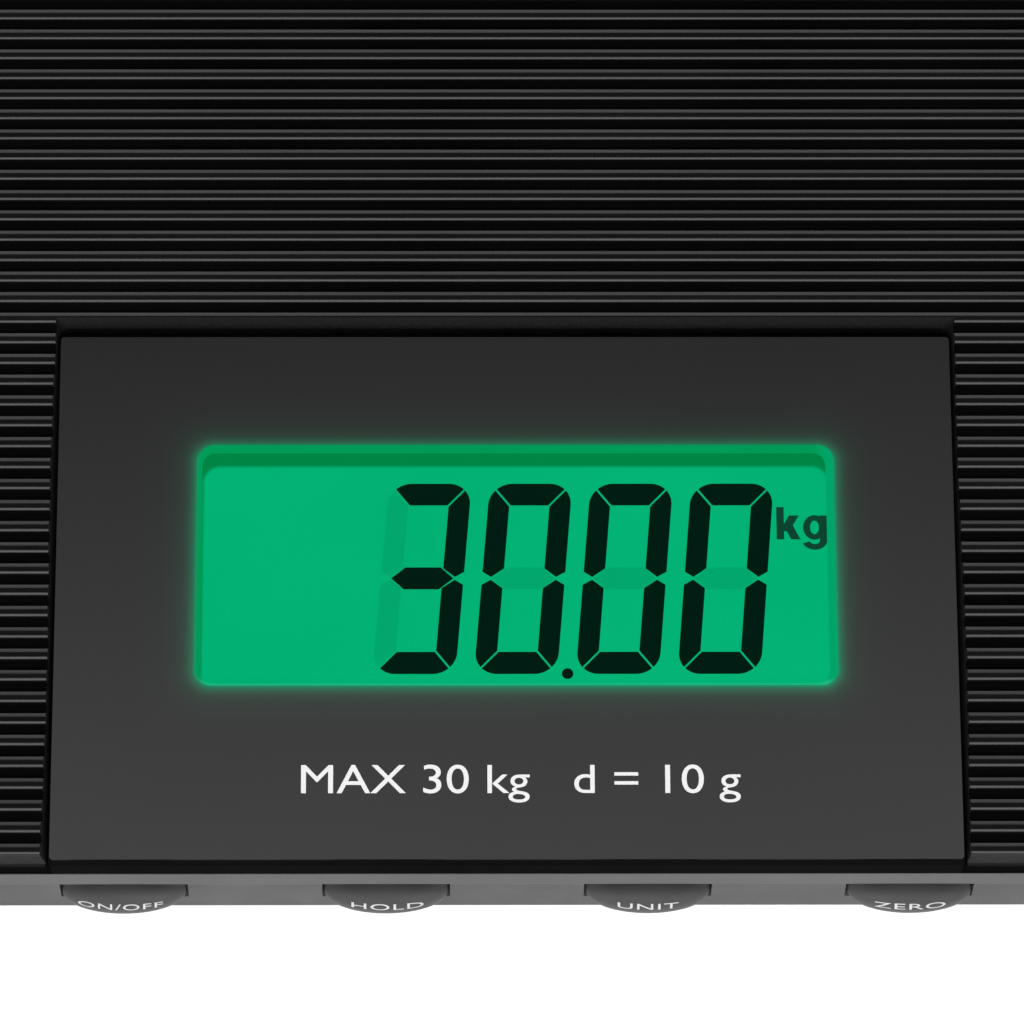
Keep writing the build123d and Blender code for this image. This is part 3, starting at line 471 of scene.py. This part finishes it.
RIB_PITCH = 3.1 * MM
RIB_LAND = 1.75 * MM
GROOVE_DEPTH = 1.1 * MM
REAR_ARCS = ((0.6, 0, 18), (3.5, 18, 27), (0.3, 27, 90))
FRONT_ARCS = ((0.3, 0, 15), (0.8, 15, 40), (0.22, 40, 90))
DRAFT = 0.14 * MM
CORNER = 12.05 * MM
PLATE_TOP_Z = mat_low.z
ARC_STEPS = 4
NOTCH_BACK_GAP = 2.9 * MM
FLARE_BACK = 0.34 * MM
FLARE_FRONT = 0.62 * MM
CUT_SLANT = 0.55 * MM


def shoulder(arcs):
    """A rib's edge from its flat top outwards, as (out, down) steps.

    Each arc is its radius in mm and the angles in degrees that it starts and ends at.
    """
    out, down, steps = 0.0, 0.0, [(0.0, 0.0)]
    for radius, start, end in arcs:
        last = math.radians(start)
        for i in range(1, ARC_STEPS + 1):
            a = math.radians(start + (end - start) * i / ARC_STEPS)
            out += radius * MM * (math.sin(a) - math.sin(last))
            down += radius * MM * (math.cos(last) - math.cos(a))
            steps.append((out, down))
            last = a
    return steps


def rib_profile():
    """The mat's section as (y, z) points from front to back, ending on the last rib."""
    top = mat_high.z
    deep = top - GROOVE_DEPTH
    front, rear = shoulder(FRONT_ARCS), shoulder(REAR_ARCS)
    points = []
    count = int((mat_high.y - mat_low.y - RIB_LAND) / RIB_PITCH)
    for k in range(count + 1):
        y0 = mat_low.y + k * RIB_PITCH
        y1 = y0 + RIB_LAND if k < count else mat_high.y
        if k > 0:
            points.append((y0 - DRAFT, deep))
        points += [(y0 + front[-1][0] - out, top - down) for out, down in reversed(front)]
        points += [(y1 - rear[-1][0] + out, top - down) for out, down in rear]
        if k < count:
            points.append((y1 + DRAFT, deep))
    return points


def with_point_at(points, y):
    """The section with a point added where it crosses y, and that point's index."""
    for i in range(len(points) - 1):
        a, b = points[i], points[i + 1]
        if a[0] < y < b[0]:
            z = a[1] + (b[1] - a[1]) * (y - a[0]) / (b[0] - a[0])
            return points[:i + 1] + [(y, z)] + points[i + 1:], i + 1
    return points, len(points) - 1


def side_of_mat(y):
    """Half width of the mat at y, with its rounded corners."""
    half = mat_high.x
    near = min(y - mat_low.y, mat_high.y - y)
    if near >= CORNER:
        return half
    return half - CORNER + math.sqrt(max(0.0, CORNER ** 2 - (CORNER - near) ** 2))


def side_of_notch(y, side, upper):
    """Half width of the notch at y: wider to the front and upwards, with a wandering hand-cut edge."""
    back = lens_high.y + NOTCH_BACK_GAP
    share = min(1.0, max(0.0, (back - y) / (back - mat_low.y)))
    foot = lens_high.x + FLARE_BACK + (FLARE_FRONT - FLARE_BACK) * share
    long_wave = 0.16 * math.sin(y / MM / 9.5 + 1.3 * side)
    short_wave = 0.05 * math.sin(y / MM / 1.7 + 2.0 * side)
    return foot + upper * (CUT_SLANT + (long_wave + short_wave) * MM)


def ribbed_mat():
    """One closed mesh: the ribbed section drawn across the U-shaped outline."""
    notch_y = lens_high.y + NOTCH_BACK_GAP
    points, back_row = with_point_at(rib_profile(), notch_y)
    verts, faces, cut = [], [], []
    for i, (y, z) in enumerate(points):
        w = side_of_mat(y)
        for level in (z, PLATE_TOP_Z):
            upper = (level - PLATE_TOP_Z) / (mat_high.z - PLATE_TOP_Z)
            left, right = -side_of_notch(y, -1, upper), side_of_notch(y, 1, upper)
            verts += [(-w, y, level), (left, y, level), (right, y, level), (w, y, level)]
    for i in range(len(points) - 1):
        a, b = i * 8, (i + 1) * 8
        bands = [0, 2] if i < back_row else [0, 1, 2]
        for c in bands:
            faces.append((a + c, a + c + 1, b + c + 1, b + c))
            faces.append((a + 4 + c, b + 4 + c, b + 5 + c, a + 5 + c))
        cut += [len(faces), len(faces) + 1]
        faces.append((a, b, b + 4, a + 4))
        faces.append((a + 3, a + 7, b + 7, b + 3))
        if i < back_row:
            cut += [len(faces), len(faces) + 1]
            faces.append((a + 1, a + 5, b + 5, b + 1))
            faces.append((a + 2, b + 2, b + 6, a + 6))
    last = (len(points) - 1) * 8
    n = back_row * 8
    cut += list(range(len(faces), len(faces) + 4))
    faces += [(0, 4, 5, 1), (2, 6, 7, 3)]
    faces += [(last, last + 1, last + 5, last + 4), (last + 2, last + 3, last + 7, last + 6)]
    faces.append((last + 1, last + 2, last + 6, last + 5))
    cut.append(len(faces))
    faces.append((n + 1, n + 5, n + 6, n + 2))
    cut.append(len(faces) - 1)
    obj = mesh_object("ribbed_mat", verts, faces, mat_rubber())
    obj.data.materials.append(cut_rubber())
    for index in cut:
        obj.data.polygons[index].material_index = 1
    bm = bmesh.new()
    bm.from_mesh(obj.data)
    bmesh.ops.recalc_face_normals(bm, faces=bm.faces)
    bm.to_mesh(obj.data)
    bm.free()
    obj.data.shade_smooth()
    obj.data.set_sharp_from_angle(angle=math.radians(35))
    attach(obj, "platform")
    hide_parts("rubber_mat")
    return obj


# ---- display marks ----

DIGIT_HEIGHT = 27.85 * MM
DIGIT_WIDTH = 11.3 * MM
DIGIT_PITCH = 13.8 * MM
DIGIT_ROUND = 3.1 * MM
BAR = 3.2 * MM
POST = 2.9 * MM
SEGMENT_GAP = 0.13 * MM
SLANT = math.tan(math.radians(4.6))
INK = 0.02 * MM
VIEW_SHIFT = 1.35 * MM


def arc(centre, radius, start, stop, steps=6):
    """Points on an arc between two angles in degrees."""
    turns = [math.radians(start + (stop - start) * i / steps) for i in range(steps + 1)]
    return [(centre[0] + radius * math.cos(t), centre[1] + radius * math.sin(t)) for t in turns]


def segment_outline(which):
    """One segment's outline, upright, in a box from (0, 0) to (DIGIT_WIDTH, DIGIT_HEIGHT)."""
    w, h, g, r = DIGIT_WIDTH, DIGIT_HEIGHT, SEGMENT_GAP, DIGIT_ROUND
    mid = h / 2
    cut = math.degrees(g / r)
    top = arc((r, h - r), r, 135 - cut, 90) + arc((w - r, h - r), r, 90, 45 + cut)
    top += [(w - POST - g * 1.4, h - BAR), (POST + g * 1.4, h - BAR)]
    side = arc((r, h - r), r, 135 + cut, 180)
    side += [(0, mid + 0.95 * MM), (POST * 0.42, mid + g * 1.6)]
    side += [(POST, mid + 1.45 * MM), (POST, h - BAR - g * 1.4)]
    inner = POST + 0.35 * MM
    middle = [(POST * 0.42 + g * 1.5, mid), (inner, mid + BAR / 2), (w - inner, mid + BAR / 2),
              (w - POST * 0.42 - g * 1.5, mid), (w - inner, mid - BAR / 2), (inner, mid - BAR / 2)]

    def flip_x(shape):
        return [(w - x, y) for x, y in shape]

    def flip_y(shape):
        return [(x, h - y) for x, y in shape]

    return {"a": top, "b": flip_x(side), "c": flip_x(flip_y(side)), "d": flip_y(top),
            "e": flip_y(side), "f": side, "g": middle}[which]


def slab_of(name, outlines, z, material, body):
    """Thin closed plates with the given outlines, as one piece."""
    verts, faces = [], []
    for outline in outlines:
        base, n = len(verts), len(outline)
        verts += [(x, y, z + INK) for x, y in outline] + [(x, y, z) for x, y in outline]
        faces.append(tuple(range(base, base + n)))
        faces.append(tuple(range(base + 2 * n - 1, base + n - 1, -1)))
        for i in range(n):
            j = (i + 1) % n
            faces.append((base + i, base + n + i, base + n + j, base + j))
    obj = mesh_object(name, verts, faces, material)
    bm = bmesh.new()
    bm.from_mesh(obj.data)
    bmesh.ops.recalc_face_normals(bm, faces=bm.faces)
    bm.to_mesh(obj.data)
    bm.free()
    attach(obj, body)
    return obj


SEGMENTS = {"3": "abcdg", "0": "abcdef"}
READING = "3000"
READING_LEFT = -19.57 * MM
READING_LOW = -16.0 * MM
POINT_RADIUS = 0.78 * MM
POINT_BACK = 1.10 * MM
POINT_UP = 0.05 * MM


def digit_places():
    """The lower left corner of every digit on the LCD."""
    for i, figure in enumerate(READING):
        yield figure, lcd_mid.x + READING_LEFT + i * DIGIT_PITCH, lcd_mid.y + READING_LOW + VIEW_SHIFT


def placed(outline, x0, y0):
    """A segment slanted and moved to its digit."""
    return [(x0 + x + y * SLANT, y0 + y) for x, y in outline]


def lcd_marks():
    """Lit reading with its decimal point, and faint unlit segments."""
    dark, faint = [], []
    for figure, x0, y0 in digit_places():
        for which in "abcdefg":
            shape = placed(segment_outline(which), x0, y0)
            (dark if which in SEGMENTS[figure] else faint).append(shape)
    point_x = lcd_mid.x + READING_LEFT + 2 * DIGIT_PITCH - POINT_BACK
    point_y = lcd_mid.y + READING_LOW + VIEW_SHIFT + POINT_UP
    ring = [(point_x + POINT_RADIUS * math.cos(a), point_y + POINT_RADIUS * math.sin(a))
            for a in (2 * math.pi * i / 32 for i in range(32))]
    dark.append(ring)
    slab_of("lcd_reading", dark, lcd_high.z, lit_print("segment_dark", srgb(0, 31, 20), 0.12), "base")
    slab_of("lcd_unlit", faint, lcd_high.z, lit_print("segment_unlit", srgb(1, 174, 113), 0.02), "base")


def rounded_rectangle(centre, half, radius, steps=10):
    """Points round a rounded rectangle, anticlockwise."""
    points = []
    for sx, sy, start in ((1, 1, 0), (-1, 1, 90), (-1, -1, 180), (1, -1, 270)):
        cx = centre[0] + sx * (half[0] - radius)
        cy = centre[1] + sy * (half[1] - radius)
        for i in range(steps + 1):
            a = math.radians(start + 90 * i / steps)
            points.append((cx + radius * math.cos(a), cy + radius * math.sin(a)))
    return points


BORDER_BACK = 0.95 * MM
BORDER_LEFT = 0.55 * MM
BORDER_RIGHT = 1.05 * MM
BORDER_FRONT = 0.22 * MM
BORDER_OVER = 0.30 * MM


def window_border():
    """The glowing edge just inside the window: painted light standing in for the window's inner wall, lit by
    the backlight.
    """
    half = Vector((WINDOW_WIDTH, WINDOW_DEPTH)) / 2
    outer_mid = (window_mid.x, window_mid.y + BORDER_OVER / 2)
    outer = rounded_rectangle(outer_mid, (half.x, half.y + BORDER_OVER / 2), WINDOW_RADIUS)
    inner_mid = (window_mid.x + (BORDER_LEFT - BORDER_RIGHT) / 2,
                 window_mid.y + (BORDER_FRONT - BORDER_BACK) / 2)
    inner_half = (half.x - (BORDER_LEFT + BORDER_RIGHT) / 2, half.y - (BORDER_FRONT + BORDER_BACK) / 2)
    inner = rounded_rectangle(inner_mid, inner_half, WINDOW_RADIUS - 0.4 * MM)
    n = len(outer)
    z = panel_high.z
    verts = [(x, y, z + INK) for x, y in outer + inner] + [(x, y, z) for x, y in outer + inner]
    faces = []
    for i in range(n):
        j = (i + 1) % n
        faces += [(i, j, n + j, n + i), (2 * n + i, 3 * n + i, 3 * n + j, 2 * n + j),
                  (i, 2 * n + i, 2 * n + j, j), (n + i, n + j, 3 * n + j, 3 * n + i)]
    obj = mesh_object("window_border", verts, faces, border_light())
    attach(obj, "base")
    return obj


# ---- lettering ----

CAPACITY_ASIDE = 1.9 * MM
CAPACITY_FROM_FRONT = 10.7 * MM
CAPACITY_WIDTH = 59.0 * MM
CAPACITY_HEIGHT = 5.4 * MM
WORD_SPACING = 1.08


def text_mesh(name, words, size, spacing=1.0):
    """Words as a flat mesh centred on the origin, in metres."""
    curve = bpy.data.curves.new(name, "FONT")
    curve.body = words
    curve.size = size
    curve.space_character = spacing
    curve.align_x = "CENTER"
    curve.align_y = "CENTER"
    curve.resolution_u = 6
    holder = link(bpy.data.objects.new(name + "_text", curve))
    bpy.context.view_layer.update()
    graph = bpy.context.evaluated_depsgraph_get()
    mesh = bpy.data.meshes.new_from_object(holder.evaluated_get(graph))
    mesh.name = name
    mesh.polygons.foreach_set("use_smooth", [False] * len(mesh.polygons))
    bpy.data.objects.remove(holder)
    bpy.data.curves.remove(curve)
    return mesh


def fit_mesh(mesh, width, height):
    """Scales a flat mesh to a width and height, and centres it."""
    xs = [v.co.x for v in mesh.vertices]
    ys = [v.co.y for v in mesh.vertices]
    sx, sy = width / (max(xs) - min(xs)), height / (max(ys) - min(ys))
    mx, my = (max(xs) + min(xs)) / 2, (max(ys) + min(ys)) / 2
    for v in mesh.vertices:
        v.co = ((v.co.x - mx) * sx, (v.co.y - my) * sy, 0.0)


def thicken(mesh, amount):
    """Turns a flat mesh into a thin plate that stands amount above its plane."""
    bm = bmesh.new()
    bm.from_mesh(mesh)
    bmesh.ops.remove_doubles(bm, verts=bm.verts, dist=1e-7)
    made = bmesh.ops.extrude_face_region(bm, geom=bm.faces[:])
    tops = [e for e in made["geom"] if isinstance(e, bmesh.types.BMVert)]
    bmesh.ops.translate(bm, verts=tops, vec=(0, 0, amount))
    bmesh.ops.recalc_face_normals(bm, faces=bm.faces)
    bm.to_mesh(mesh)
    bm.free()


def flat_words(name, words, centre, width, height, material):
    """Words printed flat at a centre on the panel."""
    mesh = text_mesh(name, words, 5 * MM)
    fit_mesh(mesh, width, height)
    thicken(mesh, INK)
    mesh.transform(Matrix.Translation(centre))
    mesh.materials.clear()
    mesh.materials.append(material)
    obj = link(bpy.data.objects.new(name, mesh))
    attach(obj, "base")
    return obj


KEY_LOW_ANGLE = math.radians(18.0)
KEY_HIGH_ANGLE = math.radians(39.0)
KEY_DOME = Vector((8.3, 3.2, 2.35)) * MM


def key_words(name, words, body, width, aside):
    """A key's word, wrapped round the front of its dome, aside of its middle."""
    low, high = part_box(f"{name}_key")
    centre = Vector(((low.x + high.x) / 2, body_low.y, high.z - KEY_DOME.z))
    mesh = text_mesh(f"{name}_word", words, 2 * MM, WORD_SPACING)
    fit_mesh(mesh, width, 2.0)
    bm = bmesh.new()
    bm.from_mesh(mesh)
    bmesh.ops.triangulate(bm, faces=bm.faces[:])
    bmesh.ops.subdivide_edges(bm, edges=[e for e in bm.edges if e.calc_length() > 0.3 * MM], cuts=2)
    bm.to_mesh(mesh)
    bm.free()
    thicken(mesh, 1.0)
    for v in mesh.vertices:
        lift = (0.004 if v.co.z < 0.5 else 0.024) * MM
        x = v.co.x + aside
        share = math.sqrt(max(0.0, 1 - (x / KEY_DOME.x) ** 2))
        angle = KEY_LOW_ANGLE + (KEY_HIGH_ANGLE - KEY_LOW_ANGLE) * (v.co.y / 2.0 + 0.5)
        v.co = (centre.x + x, centre.y - (KEY_DOME.y + lift) * share * math.cos(angle) - lift * 0.5,
                centre.z + (KEY_DOME.z + lift) * share * math.sin(angle))
    bm = bmesh.new()
    bm.from_mesh(mesh)
    bmesh.ops.recalc_face_normals(bm, faces=bm.faces)
    bm.to_mesh(mesh)
    bm.free()
    mesh.materials.clear()
    mesh.materials.append(white_ink(f"{name}_ink", 0.62, 0.5))
    obj = link(bpy.data.objects.new(f"{name}_word", mesh))
    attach(obj, body)
    return obj


UNIT_HEIGHT = 4.75 * MM
UNIT_STROKE = 1.02 * MM
UNIT_LEFT = 35.65 * MM
UNIT_LOW = 3.63 * MM


def bar_shape(a, b, width):
    """A straight stroke from a to b."""
    a, b = Vector(a), Vector(b)
    side = (b - a).normalized().orthogonal() * width / 2
    return [tuple(a + side), tuple(a - side), tuple(b - side), tuple(b + side)]


def leaning(a, b, width):
    """A stroke from a to b with level ends."""
    half = width / 2
    return [(a[0] - half, a[1]), (a[0] + half, a[1]), (b[0] + half, b[1]), (b[0] - half, b[1])]


def bow(centre, outer, inner, start, stop, steps=24):
    """A curved stroke between an outer and an inner ellipse."""
    turns = [math.radians(start + (stop - start) * i / steps) for i in range(steps + 1)]
    rim = [(centre[0] + outer[0] * math.cos(t), centre[1] + outer[1] * math.sin(t)) for t in turns]
    hollow = [(centre[0] + inner[0] * math.cos(t), centre[1] + inner[1] * math.sin(t)) for t in turns]
    return rim, hollow


def strips(rim, hollow):
    """The quads between two rows of points."""
    return [[rim[i], rim[i + 1], hollow[i + 1], hollow[i]] for i in range(len(rim) - 1)]


def unit_sign():
    """The letters k and g of the unit, in plain strokes, right of the reading."""
    x0, y0 = lcd_mid.x + UNIT_LEFT, lcd_mid.y + UNIT_LOW + VIEW_SHIFT
    t, small = UNIT_STROKE, UNIT_HEIGHT * 0.74
    k_leg, k_arm = 3.25 * MM, 3.1 * MM
    shapes = [bar_shape((x0 + t / 2, y0), (x0 + t / 2, y0 + UNIT_HEIGHT), t),
              leaning((x0 + t * 1.05, y0 + small * 0.34), (x0 + k_arm - t * 0.68, y0 + small), t * 1.32),
              leaning((x0 + k_leg - t * 0.62, y0), (x0 + t * 1.45, y0 + small * 0.66), t * 1.24)]
    g_mid = (x0 + 5.2 * MM, y0 + small / 2)
    g_half = (1.58 * MM, small / 2 + 0.06 * MM)
    shapes += strips(*bow(g_mid, g_half, (g_half[0] - t * 0.95, g_half[1] - t * 0.8), 0, 360))
    stem_x = g_mid[0] + g_half[0] - t * 0.35
    hook_y = y0 - 0.10 * MM
    shapes.append(bar_shape((stem_x, hook_y), (stem_x, y0 + small), t))
    hook_half = (stem_x + t / 2 - g_mid[0], 1.42 * MM)
    shapes += strips(*bow((g_mid[0], hook_y), hook_half, (hook_half[0] - t, hook_half[1] - t * 0.8), 0, -160))
    return shapes


def lettering():
    """The unit on the LCD, the capacity line on the panel, and the four key words."""
    slab_of("lcd_unit", unit_sign(), lcd_high.z, lit_print("unit_dark", srgb(14, 70, 52), 0.06), "base")
    centre = (panel_mid.x + CAPACITY_ASIDE, panel_low.y + CAPACITY_FROM_FRONT, panel_high.z)
    flat_words("capacity_line", "MAX 30 kg   d = 10 g", centre, CAPACITY_WIDTH, CAPACITY_HEIGHT,
               white_ink("panel_ink", 0.85))
    key_words("on_off", "ON/OFF", "on_off_button", 11.4 * MM, -0.45 * MM)
    key_words("hold", "HOLD", "hold_button", 9.7 * MM, 0.2 * MM)
    key_words("unit", "UNIT", "unit_button", 8.2 * MM, 0.0)
    key_words("zero", "ZERO", "zero_button", 9.6 * MM, 0.0)


# ---- stage, light and camera ----

FLOOR_HALF = 3.0


def area_light(name, place, aim, size, power):
    """A rectangular soft light at place, pointing at aim."""
    data = bpy.data.lights.new(name, "AREA")
    data.shape = "RECTANGLE"
    data.size, data.size_y = size
    data.energy = power
    obj = link(bpy.data.objects.new(name, data))
    obj.location = place
    obj.rotation_euler = (Vector(aim) - Vector(place)).to_track_quat("-Z", "Y").to_euler()
    return obj


def studio():
    """Pale floor, dim surround and soft lights: one overhead, one low behind, one in front."""
    half = FLOOR_HALF
    corners = [(-half, -half, 0), (half, -half, 0), (half, half, 0), (-half, half, 0)]
    floor = mesh_object("studio_floor", corners, [(0, 1, 2, 3)], floor_paint())
    world = bpy.data.worlds.new("surround")
    bpy.context.scene.world = world
    world.use_nodes = True
    world.node_tree.nodes["Background"].inputs["Color"].default_value = grey(1.0)
    world.node_tree.nodes["Background"].inputs["Strength"].default_value = 0.10
    area_light("overhead", (0.0, -0.95, 1.20), (0.0, -0.1, 0.0), (1.8, 0.9), 27.0)
    area_light("behind", (0.0, 1.30, 0.55), (0.0, 0.0, 0.03), (3.0, 0.9), 15.0)
    area_light("front", (0.0, -1.5, 0.45), (0.0, -0.1, 0.0), (2.0, 0.6), 2.5)


CAMERA_ELEVATION = math.radians(68.0)
CAMERA_AZIMUTH = math.radians(-1.28)
CAMERA_ROLL = math.radians(1.16)
CAMERA_DISTANCE = 0.9136
CAMERA_LENS = 235.5
AIM_FROM_PANEL = Vector((0.85, 12.0, 0.0)) * MM


def camera():
    """A long lens, close to straight down on the panel."""
    aim = Vector((panel_mid.x, panel_mid.y, panel_high.z)) + AIM_FROM_PANEL
    e, a = CAMERA_ELEVATION, CAMERA_AZIMUTH
    back = Vector((math.sin(a) * math.cos(e), -math.cos(a) * math.cos(e), math.sin(e)))
    data = bpy.data.cameras.new("main_camera")
    data.sensor_width = 36.0
    data.lens = CAMERA_LENS
    data.clip_start, data.clip_end = 0.01, 20.0
    obj = link(bpy.data.objects.new("main_camera", data))
    right = Vector((0, 0, 1)).cross(back).normalized()
    up = back.cross(right)
    tilted_right = right * math.cos(CAMERA_ROLL) + up * math.sin(CAMERA_ROLL)
    tilted_up = up * math.cos(CAMERA_ROLL) - right * math.sin(CAMERA_ROLL)
    turn = Matrix((tilted_right, tilted_up, back)).transposed().to_4x4()
    obj.matrix_world = Matrix.Translation(aim + back * CAMERA_DISTANCE) @ turn
    bpy.context.scene.camera = obj


bpy.context.scene.view_settings.view_transform = "Standard"
camera()
studio()
dress_cad()
ribbed_mat()
lcd_marks()
window_border()
lettering()
